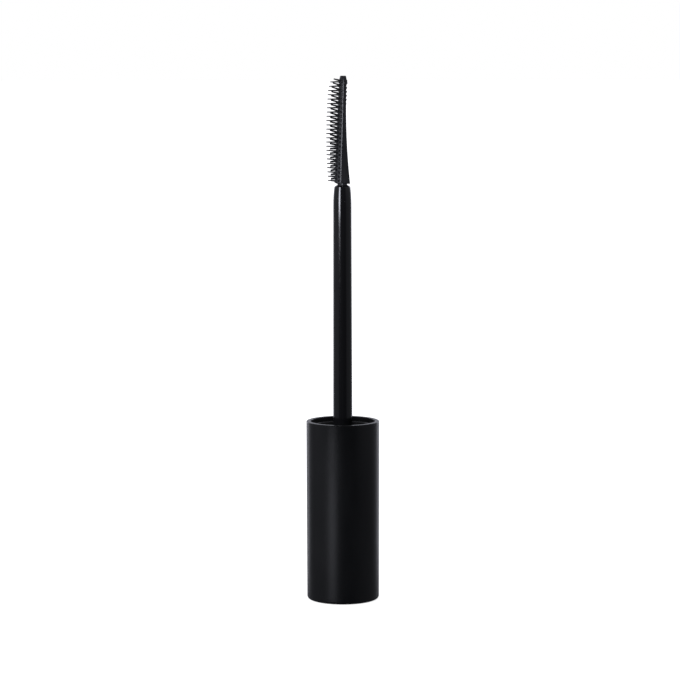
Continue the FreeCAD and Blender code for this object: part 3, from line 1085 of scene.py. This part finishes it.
@dataclass
class WandStem:
    """The wand: barbed tail, collar, long tapering rod and the crimped-in nose."""

    sizes: FrameSizes
    rod_radius: float = 2.24
    collar_radius: float = 3.3
    collar_height: float = 1.2
    collar_round: float = 0.15
    straight_end: float = 46.5
    taper_end: float = 91.7
    taper_radius: float = 2.13
    shoulder_height: float = 96.8
    shoulder_radius: float = 1.86
    shoulder_round: float = 0.12
    crimp_power: float = 2.4
    crimp_rings: int = 12
    hole_radius: float = 1.17
    hole_depth: float = 1.4
    hole_lip: float = 0.08
    hole_round: float = 0.05
    tail_radius: float = 1.95
    tail_round: float = 0.4
    barb_radius: float = 2.2
    barb_shoulders: Pair = (-2.6, -5.2)
    barb_length: float = 1.2
    barb_step: float = 0.01
    mark_height: float = 93.5
    mark_turn: float = 14.0
    mark_count: int = 4
    mark_radius: float = 0.2
    mark_depth: float = 0.15
    sides: int = 128

    def crimp_radius(self, height: float) -> float:
        """Radius of the nose between the end of the taper and the shoulder."""
        share = (height - self.taper_end) / (self.shoulder_height - self.taper_end)
        return self.taper_radius - (self.taper_radius - self.shoulder_radius) * share ** self.crimp_power

    def build(self) -> bpy.types.Object:
        """Model the rod upwards and the tail downwards as one piece.

        Returns:
            The wand.
        """
        seat = self.sizes.seat_height
        nose = self.sizes.nose_height
        rod = Workpiece.rod("wand_rod", self.rod_radius, seat, nose, self.sides)
        span = self.shoulder_height - self.taper_end
        crimps = [self.taper_end + span * (ring + 1) / self.crimp_rings for ring in range(self.crimp_rings)]
        rod.slice_at([seat + self.collar_height, self.straight_end, self.taper_end, *crimps])
        rod.girth(self.taper_end, self.rod_radius, self.taper_radius)
        for height in crimps:
            rod.girth(height, self.rod_radius, self.crimp_radius(height))
        self.close_nose(rod, nose)
        self.draw_collar(rod, seat)
        self.draw_tail(rod, seat)
        stem = rod.close(sharp_angle=35.0)
        self.stamp_marks(stem)
        return joined("wand_rod", [stem])

    def close_nose(self, rod: Workpiece, nose: float) -> None:
        """Chamfer the nose in to its hole and sink the hole.

        Args:
            rod: the rod.
            nose: the height of its nose.
        """
        end_radius = self.hole_radius + self.hole_lip
        rod.girth(nose, self.rod_radius, end_radius)
        rod.pick_rim(self.shoulder_radius, self.shoulder_height).bevel(self.shoulder_round, segments=4)
        rod.pick_faces(lambda centre, normal: centre.z > nose - LEVEL_SLACK)
        rod.inset(self.hole_lip)
        rod.extrude(-self.hole_depth)
        rod.pick_rim(end_radius, nose).bevel(self.hole_round, segments=2)

    def draw_collar(self, rod: Workpiece, seat: float) -> None:
        """Draw the seating collar out of the rod's foot and round its upper edge.

        Args:
            rod: the rod.
            seat: the height of its foot.
        """
        top = seat + self.collar_height
        rod.pick_faces(lambda centre, normal: seat < centre.z < top and abs(normal.z) < 0.5)
        rod.swell(self.collar_radius - self.rod_radius)
        rod.pick_rim(self.collar_radius, top).bevel(self.collar_round, segments=3)

    def draw_tail(self, rod: Workpiece, seat: float) -> None:
        """Draw the tail down from the foot and swell its barbs.

        Args:
            rod: the rod.
            seat: the height of its foot.
        """
        foot = self.sizes.tail_foot
        rod.pick_faces(lambda centre, normal: normal.z < -LEVEL_FACE and girth_of(centre) < GIRTH_SLACK)
        rod.inset(self.rod_radius - self.tail_radius)
        rod.extrude(foot - seat)
        for shoulder in self.barb_shoulders:
            rod.slice_at(seat + shoulder - drop for drop in (0.0, self.barb_step, self.barb_length))
        for shoulder in self.barb_shoulders:
            rod.girth(seat + shoulder - self.barb_step, self.tail_radius, self.barb_radius)
        rod.pick_rim(self.tail_radius, foot).bevel(self.tail_round, segments=3)

    def stamp_marks(self, stem: bpy.types.Object) -> None:
        """Press the small round staking marks into the crimped stretch.

        Args:
            stem: the finished wand.
        """
        radius = self.crimp_radius(self.mark_height)
        offset = radius + self.mark_radius - self.mark_depth
        turn = math.radians(self.mark_turn)
        place = (offset * math.sin(turn), -offset * math.cos(turn), self.mark_height)
        bpy.ops.object.select_all(action="DESELECT")
        bpy.ops.mesh.primitive_ico_sphere_add(subdivisions=3, radius=self.mark_radius, location=place)
        punch = bpy.context.object
        settle()
        punches = joined("staking_punches", spread_round(punch, self.mark_count))
        select_only([stem])
        cut = stem.modifiers.new("marks", "BOOLEAN")
        cut.operation = "DIFFERENCE"
        cut.solver = "EXACT"
        cut.object = punches
        bpy.ops.object.modifier_apply(modifier="marks")
        bpy.data.objects.remove(punches)


@dataclass
class CombBrush:
    """The moulded comb: curved spine, ridge, flat back, five columns of bristles and back nubs."""

    sizes: FrameSizes
    base_gap: float = 0.3
    bed: Triple = (-1.83, -1.27, -0.64)
    ridge: Triple = (-0.3, 0.06, 0.42)
    back: Triple = (1.83, 1.0, 1.14)
    tips: Triple = (-3.27, -3.74, -2.96)
    back_share: float = 0.66
    chamfer_height: float = 0.22
    chamfer_width: float = 0.6
    tip_height: float = 1.2
    tip_shrink: float = 0.38
    tip_power: float = 1.6
    straight_rings: int = 36
    tip_rings: int = 7
    bed_sides: int = 24
    back_round: float = 0.16
    tip_round: float = 0.12
    round_steps: int = 7
    sharp_angle: float = 14.0
    corner_reach: float = 0.35
    corner_aside: float = 0.2
    corner_run: float = 0.05
    shank_radius: float = 1.15
    shank_bite: float = 0.3
    shank_round: float = 0.2
    shank_sides: int = 48
    rows: int = 24
    pitch: float = 0.989
    first_row: float = 0.74
    root_radius: float = 0.23
    tip_radius: float = 0.12
    bristle_sides: int = 12
    flares: tuple[Pair, ...] = ((0.0, 1.5), (0.07, 1.18))
    flare_end: float = 0.14
    tip_dome: float = 0.6
    sunk: float = 0.12
    wander: float = 1.4
    wander_seed: int = 24
    short_bristles: int = 4
    shortening: float = 0.03
    middle_lean: float = 4.0
    side_lean_low: float = -6.0
    side_lean_high: float = 11.0
    lean_change: float = 8.6
    lean_blend: float = 2.4
    nub_count: int = 5
    nub_pitch: float = 0.9
    nub_radius: float = 0.25
    nub_taper: float = 0.7
    nub_round: float = 0.12
    nub_sides: int = 14
    nub_rise: float = 0.2
    nub_below_tip: float = 2.8
    pad_height: float = 1.4
    pad_root: float = 0.45
    pad_width: float = 0.8
    pad_below_tip: float = 0.6
    pad_slope: Pair = (-0.05, -0.45)
    pad_round: float = 0.12

    @property
    def base(self) -> float:
        """Height of the comb's base."""
        return self.sizes.nose_height + self.base_gap

    @property
    def length(self) -> float:
        """Length of the comb above its base."""
        return self.sizes.comb_tip - self.base

    def along(self, outline: Triple, lift: float) -> float:
        """X of a lengthwise outline at a lift above the base.

        Args:
            outline: its X at the base, at half length and at the tip.
            lift: the height above the base.

        Returns:
            The X there, on the parabola through the three.
        """
        share = lift / self.length
        start, middle, end = outline
        slope = 4.0 * middle - 3.0 * start - end
        bend = 2.0 * start + 2.0 * end - 4.0 * middle
        return start + slope * share + bend * share * share

    def draw_in(self, lift: float) -> float:
        """What the rounding of the tip leaves of the section at a lift above the base."""
        share = (lift - self.length + self.tip_height) / self.tip_height
        return 1.0 - self.tip_shrink * min(max(share, 0.0), 1.0) ** self.tip_power

    def bed_radius(self, lift: float) -> float:
        """Radius of the half-round bristle bed at a lift above the base."""
        return (self.along(self.ridge, lift) - self.along(self.bed, lift)) * (1.0 + self.draw_in(lift)) / 2.0

    def back_reach(self, lift: float) -> float:
        """How far the flat back stands behind the ridge at a lift above the base."""
        return (self.along(self.back, lift) - self.along(self.ridge, lift)) * self.draw_in(lift)

    def build(self) -> bpy.types.Object:
        """Model the spine, the shank, the bristles and the nubs as one piece."""
        parts = [self.spine(), self.shank(), *self.bristles(), *self.nubs(), self.pad()]
        return joined("moulded_comb", parts)

    def section_lifts(self) -> list[float]:
        """Lift of every section above the base, from the chamfer to the tip.

        Returns:
            The lifts, in rising order.
        """
        shoulder = self.length - self.tip_height
        run = shoulder - self.chamfer_height
        body = [self.chamfer_height + run * ring / self.straight_rings for ring in range(self.straight_rings)]
        tip = [shoulder + self.tip_height * ring / self.tip_rings for ring in range(self.tip_rings + 1)]
        return body + tip

    def spine(self) -> bpy.types.Object:
        """Draw the base outline from half a circle, then raise it section by section to the tip.

        Returns:
            The spine.
        """
        spine = self.base_outline()
        lift = 0.0
        radius = self.bed_radius(0.0) - self.chamfer_width
        ridge = self.along(self.ridge, 0.0)
        reach = self.back_reach(0.0)
        for level in self.section_lifts():
            next_radius = self.bed_radius(level)
            next_ridge = self.along(self.ridge, level)
            spine.extrude(level - lift)
            height = self.base + level
            factor = next_radius / radius
            spine.resize(factor, factor, 1.0, (ridge, 0.0, height))
            spine.move(next_ridge - ridge)
            back = next_ridge + reach * factor
            spine.pick_points(lambda point: point.z > height - LEVEL_SLACK and point.x > back - LEVEL_SLACK)
            reach = self.back_reach(level)
            spine.move(next_ridge + reach - back)
            spine.pick_faces(lambda centre, normal: centre.z > height - LEVEL_SLACK)
            lift, radius, ridge = level, next_radius, next_ridge
        self.round_edges(spine)
        return spine.close(self.sharp_angle)

    def base_outline(self) -> Workpiece:
        """Half a circle for the bed, and straight flanks to the flat back.

        Returns:
            The outline at the base, filled and open for editing.
        """
        radius = self.bed_radius(0.0) - self.chamfer_width
        ridge = self.along(self.ridge, 0.0)
        back = self.along(self.back, 0.0)
        outline = Workpiece.start("comb_spine", bpy.ops.mesh.primitive_circle_add, radius=radius,
                                  vertices=2 * self.bed_sides, location=(ridge, 0.0, self.base))
        outline.pick_points(lambda point: point.x > ridge + LEVEL_SLACK)
        bpy.ops.mesh.delete(type="VERT")
        for side in (-1.0, 1.0):
            corner = Vector((ridge, side * radius, self.base))
            outline.pick_points(lambda point: (point - corner).length < LEVEL_SLACK)
            flank = side * radius * (self.back_share - 1.0)
            bpy.ops.mesh.extrude_vertices_move(TRANSFORM_OT_translate={"value": (back - ridge, flank, 0.0)})
        outline.pick_all()
        bpy.ops.mesh.edge_face_add()
        return outline

    def round_edges(self, spine: Workpiece) -> None:
        """Round the corners of the flat back and the rim of the tip.

        Args:
            spine: the spine.
        """
        top = self.sizes.comb_tip

        def at_corner(point: Vector) -> bool:
            """Whether a point of the spine lies on one of the back's two corners."""
            ridge = self.along(self.ridge, min(point.z - self.base, self.length))
            return point.x > ridge + self.corner_reach and abs(point.y) > self.corner_aside

        spine.pick_edges(lambda a, b: at_corner(a) and at_corner(b) and a.y * b.y > 0.0
                         and abs(a.z - b.z) > self.corner_run)
        spine.bevel(self.back_round, self.round_steps)
        spine.pick_edges(lambda a, b: a.z > top - LEVEL_SLACK and b.z > top - LEVEL_SLACK)
        spine.bevel(self.tip_round, self.round_steps)

    def shank(self) -> bpy.types.Object:
        """The round shank that joins the comb's base to the wand's nose.

        Returns:
            The shank.
        """
        foot = self.sizes.shank_foot
        top = self.base + self.shank_bite
        shank = Workpiece.rod("comb_shank", self.shank_radius, foot, top, self.shank_sides)
        shank.pick_rim(self.shank_radius, foot).bevel(self.shank_round, segments=3)
        return shank.close()

    def bristle_model(self) -> bpy.types.Object:
        """One bristle of unit length, upright: flared at its root and rounded at its tip.

        Returns:
            The bristle.
        """
        pin = Workpiece.pin("bristle", self.root_radius, self.tip_radius, 1.0, self.bristle_sides)
        pin.slice_at([lift for lift, _ in self.flares[1:]] + [self.flare_end])
        for lift, factor in self.flares:
            pin.pick_points(lambda point: abs(point.z - lift) < LEVEL_SLACK)
            pin.resize(factor, factor, 1.0, (0.0, 0.0, lift))
        pin.pick_edges(lambda a, b: min(a.z, b.z) > 1.0 - LEVEL_SLACK)
        pin.bevel(self.tip_radius * self.tip_dome, segments=2)
        return pin.close(sharp_angle=60.0)

    def bristles(self) -> list[bpy.types.Object]:
        """Every bristle, copied from one; a row's share a slight wander, and the highest are shorter.

        Returns:
            The bristles, from the base to the tip.
        """
        model = self.bristle_model()
        chance = random.Random(self.wander_seed)
        pieces = []
        half_rows = 2 * self.rows
        for number in range(half_rows):
            lift = self.first_row + self.pitch * number / 2.0
            wander = chance.uniform(-self.wander, self.wander)
            fullness = 1.0 - self.shortening * max(0, number + 1 - half_rows + self.short_bristles)
            for column in Column:
                if column.between_rows == bool(number % 2):
                    lean = self.lean(column, lift) + wander
                    pieces.append(self.place_bristle(copy_of(model), column, lift, lean, fullness))
        bpy.data.objects.remove(model)
        return pieces

    def lean(self, column: Column, lift: float) -> float:
        """Lean that draws bristles together in pairs, one way near the base and the other above.

        Args:
            column: the column.
            lift: the height above the base.

        Returns:
            The lean from level, in degrees.
        """
        high = min(max((lift - self.lean_change) / self.lean_blend + 0.5, 0.0), 1.0)
        if column.between_rows:
            return self.side_lean_low + (self.side_lean_high - self.side_lean_low) * high
        return self.middle_lean * (1.0 - high) if column is Column.MIDDLE else 0.0

    def place_bristle(self, pin: bpy.types.Object, column: Column, lift: float, lean: float,
                      fullness: float) -> bpy.types.Object:
        """Set one bristle on the bed, leaning about its own middle.

        Args:
            pin: the bristle.
            column: the column that it stands in.
            lift: the height of its middle above the comb's base.
            lean: its lean from level, in degrees.
            fullness: its reach, as a share of a full bristle's.

        Returns:
            The bristle in its place.
        """
        root = math.radians(column.value)
        turn = math.radians(column.aim)
        ridge = self.along(self.ridge, lift)
        start = self.bed_radius(lift) - self.sunk
        run = (ridge - self.along(self.tips, lift)) * fullness - start
        out = Vector((-math.cos(turn), -math.sin(turn), math.tan(math.radians(lean))))
        pin.location = (ridge - start * math.cos(root), -start * math.sin(root),
                        self.base + lift - out.z * run / 2.0)
        pin.rotation_mode = "QUATERNION"
        pin.rotation_quaternion = out.to_track_quat("Z", "Y")
        pin.scale = (1.0, 1.0, run * out.length)
        return pin

    def nubs(self) -> list[bpy.types.Object]:
        """The row of low nubs down the back, each lower than the one above it.

        Returns:
            The nubs.
        """
        pieces = []
        for number in range(self.nub_count):
            lift = self.length - self.nub_below_tip - self.nub_pitch * number
            rise = self.nub_rise * (1.0 - (number / self.nub_count) ** 2)
            nub = Workpiece.pin("nub", self.nub_radius, self.nub_radius * self.nub_taper,
                                self.nub_radius + rise, self.nub_sides)
            nub.pick_edges(lambda a, b: min(a.z, b.z) > self.nub_radius)
            nub.bevel(self.nub_round, segments=4)
            piece = nub.close(sharp_angle=50.0)
            piece.rotation_euler.y = QUARTER_TURN
            piece.location = (self.along(self.back, lift) - self.nub_radius, 0.0, self.base + lift)
            pieces.append(piece)
        return pieces

    def pad(self) -> bpy.types.Object:
        """The raised pad on the back of the tip.

        Returns:
            The pad.
        """
        top = self.length - self.pad_below_tip
        surface = self.along(self.back, top - self.pad_height / 2.0)
        half = self.pad_width / 2.0
        low = (surface - self.pad_root, -half, self.base + top - self.pad_height)
        pad = Workpiece.block("tip_pad", low, (surface + self.nub_rise, half, self.base + top))
        pad.pick_points(lambda point: point.x > surface and point.z > self.base + top - LEVEL_SLACK)
        pad.move(self.pad_slope[0], 0.0, self.pad_slope[1])
        pad.pick_edges(lambda a, b: min(a.x, b.x) > surface)
        pad.bevel(self.pad_round, segments=4)
        return pad.close()


@dataclass(frozen=True)
class StripLight:
    """A soft upright strip light near the object, in millimetres and degrees; it faces the object's axis."""

    name: str
    azimuth: float
    distance: float
    foot: float
    top: float
    width: float
    radiance: float
    falls_on: tuple[str, ...]
    tint: Colour = COOL_WHITE

    def build(self) -> None:
        """Set the strip up, flagged off from every piece but its own."""
        turn = math.radians(self.azimuth)
        tall = (self.top - self.foot) * MM
        place = (self.distance * MM * math.sin(turn), -self.distance * MM * math.cos(turn),
                 (self.foot + self.top) / 2.0 * MM)
        bpy.ops.object.light_add(type="AREA", location=place, rotation=(QUARTER_TURN, 0.0, turn))
        strip = bpy.context.object
        strip.name = self.name
        strip.data.shape = "RECTANGLE"
        strip.data.size = self.width * MM
        strip.data.size_y = tall
        strip.data.energy = self.radiance * math.pi * self.width * MM * tall
        strip.data.color = self.tint
        strip.visible_camera = False
        lit = bpy.data.collections.new(self.name + "_falls_on")
        for piece in self.falls_on:
            lit.objects.link(bpy.data.objects[piece])
        strip.light_linking.receiver_collection = lit


@dataclass
class Studio:
    """The pale floor, the soft light and the camera."""

    camera_distance: float = 618.0
    camera_height: float = 130.5
    camera_aside: float = -0.46
    camera_pitch: float = 6.411
    camera_roll: float = 0.123
    lens: float = 141.3
    floor_radius: float = 8.0
    floor_gap: float = 0.00002
    floor_near: float = 0.12
    floor_far: float = 0.5
    floor_glow: Pair = (0.84, 1.05)
    floor_waves: float = 3.0
    floor_tones: tuple[Colour, Colour] = ((0.84, 0.84, 0.84), (0.88, 0.88, 0.88))
    backdrop: float = 1.0
    behind: float = 0.3
    behind_span: Pair = (0.3, 0.6)
    behind_rise: float = 0.1
    upward_low: Pair = (-0.25, 0.75)
    upward_high: Pair = (0.2, 1.45)
    tint: Colour = COOL_WHITE
    lamp_place: Triple = (-0.25, -0.15, 0.9)
    lamp_turn: Triple = (0.12, -0.25, 0.0)
    lamp_size: Pair = (0.9, 0.6)
    lamp_power: float = 2.6
    surround: tuple[Pair, ...] = (
        (-180.0, 0.24), (-135.0, 0.24), (-115.0, 0.22), (-90.0, 0.27), (-50.0, 0.27), (-47.0, 0.05),
        (0.0, 0.045), (42.0, 0.05), (44.0, 0.13), (62.0, 0.23), (90.0, 0.24), (115.0, 0.22),
        (135.0, 0.24), (180.0, 0.24))
    strips: tuple[StripLight, ...] = (
        StripLight("upper_strip", -36.0, 150.0, 81.0, 200.0, 50.0, 16.0, ("wand_rod",)),
        StripLight("comb_strip", -5.0, 150.0, 88.0, 135.0, 24.0, 24.0, ("moulded_comb",)),
        StripLight("comb_fill", -50.0, 150.0, 85.0, 140.0, 150.0, 1.3, ("moulded_comb",)),
        StripLight("lower_strip", -33.0, 110.0, -30.0, 40.0, 40.0, 3.0, ("cap_shell",)),
        StripLight("side_strip", -75.0, 200.0, -30.0, 60.0, 140.0, 0.2, ("cap_shell",)),
        StripLight("left_back_strip", -146.0, 200.0, -40.0, 200.0, 60.0, 1.4, BLACK_PIECES),
        StripLight("right_back_strip", 146.0, 200.0, -40.0, 200.0, 60.0, 1.2, BLACK_PIECES),
    )

    def build(self) -> None:
        """Set up the floor, the surroundings, the lights and the camera."""
        self.colour_management()
        self.floor()
        self.surroundings()
        for strip in self.strips:
            strip.build()
        self.lamp()
        self.camera()

    def colour_management(self) -> None:
        """Show tones as they are, so that the pale floor stays neutral."""
        bpy.context.scene.view_settings.view_transform = "Standard"

    def floor(self) -> None:
        """A wide pale round floor that isn't mirrored in the object, with a painted-light glow that is dimmer
        near the object than far from it.
        """
        bpy.ops.object.select_all(action="DESELECT")
        bpy.ops.mesh.primitive_circle_add(
            vertices=96, radius=self.floor_radius, fill_type="NGON", location=(0.0, 0.0, -self.floor_gap))
        floor = bpy.context.object
        floor.name = "floor"
        bench = MaterialBench("pale_floor")
        shade = bench.add("ShaderNodeBsdfDiffuse")
        tone = bench.noise([self.floor_waves] * 3)
        bench.wire(bench.blend(tone, *self.floor_tones), shade.inputs["Color"])
        flat = bench.add("ShaderNodeVectorMath", operation="LENGTH")
        bench.wire(bench.place, flat.inputs[0])
        # Painted light: the floor glows, dimmer within floor_near of the object and brighter past floor_far,
        # so the lamp's contact shadow still shows near it.
        glow = bench.add("ShaderNodeEmission")
        strength = bench.ranged(flat.outputs["Value"], (self.floor_near, self.floor_glow[0]),
                                (self.floor_far, self.floor_glow[1]))
        bench.wire(strength, glow.inputs["Strength"])
        both = bench.add("ShaderNodeAddShader")
        bench.wire(shade.outputs["BSDF"], both.inputs[0])
        bench.wire(glow.outputs["Emission"], both.inputs[1])
        floor.data.materials.append(bench.finish(both.outputs["Shader"]))
        floor.visible_glossy = False
        floor.visible_diffuse = False
        floor.visible_shadow = False

    def surroundings(self) -> None:
        """A white backdrop to the eye; as light, dark in front and soft grey at the sides and behind."""
        world = bpy.data.worlds.new("soft_studio")
        bpy.context.scene.world = world
        world.use_nodes = True
        bench = NodeBench(world.node_tree)
        parts = bench.split(bench.add("ShaderNodeTexCoord").outputs["Generated"])
        front = bench.sum_of(parts["Y"], -1.0, "MULTIPLY")
        azimuth = bench.sum_of(parts["X"], front, "ARCTAN2")
        share = bench.sum_of(bench.sum_of(azimuth, 1.0 / FULL_TURN, "MULTIPLY"), 0.5)
        around = bench.graded(share, [(turn / 360.0 + 0.5, grey) for turn, grey in self.surround])
        upward = bench.ranged(parts["Z"], self.upward_low, self.upward_high)
        behind = bench.share(parts["Y"], self.behind_span)
        above = bench.ranged(parts["Z"], (0.0, 0.0), (self.behind_rise, self.behind))
        ring = bench.sum_of(around, upward, "MULTIPLY")
        total = bench.sum_of(ring, bench.sum_of(behind, above, "MULTIPLY"))
        choose = bench.add("ShaderNodeMix")
        choose.inputs["B"].default_value = self.backdrop
        seen = bench.add("ShaderNodeLightPath").outputs["Is Camera Ray"]
        bench.wire(seen, choose.inputs["Factor"])
        bench.wire(total, choose.inputs["A"])
        background = bench.add("ShaderNodeBackground")
        bench.wire(choose.outputs["Result"], background.inputs["Strength"])
        bench.wire(bench.blend(seen, self.tint, (1.0, 1.0, 1.0)), background.inputs["Color"])
        output = bench.add("ShaderNodeOutputWorld")
        bench.wire(background.outputs["Background"], output.inputs["Surface"])

    def lamp(self) -> None:
        """One large soft lamp overhead for the floor and its faint contact shadow."""
        bpy.ops.object.light_add(type="AREA", location=self.lamp_place, rotation=self.lamp_turn)
        lamp = bpy.context.object
        lamp.name = "overhead_softbox"
        lamp.data.shape = "RECTANGLE"
        lamp.data.size, lamp.data.size_y = self.lamp_size
        lamp.data.energy = self.lamp_power
        lamp.visible_camera = False
        lamp.visible_glossy = False

    def camera(self) -> None:
        """The camera, a little above the object and looking slightly down at it."""
        place = (self.camera_aside * MM, -self.camera_distance * MM, self.camera_height * MM)
        turn = (math.radians(90.0 - self.camera_pitch), math.radians(self.camera_roll), 0.0)
        bpy.ops.object.camera_add(location=place, rotation=turn)
        camera = bpy.context.object
        camera.data.lens = self.lens
        camera.data.sensor_width = 36.0
        camera.data.clip_start = 0.01
        bpy.context.scene.camera = camera


def dress(piece: bpy.types.Object, material: bpy.types.Material, node: str) -> None:
    """Give a piece its material, fasten it to the object and let it stand for its CAD node.

    Args:
        piece: the finished piece, in millimetres.
        material: its material.
        node: the CAD node that it replaces.
    """
    to_metres(piece)
    piece.data.materials.clear()
    piece.data.materials.append(material)
    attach(piece, "root")
    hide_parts(node)
    LOG.info("%s: %d faces, stands for %s", piece.name, len(piece.data.polygons), node)


def main() -> None:
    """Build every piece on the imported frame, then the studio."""
    logging.basicConfig(level=logging.INFO, format="%(name)s: %(message)s")
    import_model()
    sizes = FrameSizes.read()
    dress(CapShell(sizes).build(), SoftTouchShell(sizes.cap_height).material(), "outer_cap")
    dress(ThreadedInsert(sizes).build(), MouldedInsert().material(), "inner_cap")
    dress(SealingRing(sizes).build(), SealRubber().material(), "sealing_ring")
    dress(WandStem(sizes).build(), PolishedRod(sizes.nose_height).material(), "wand_stem")
    dress(CombBrush(sizes).build(), CombElastomer().material(), "comb_brush")
    Studio().build()


if __name__ == "__main__":
    main()
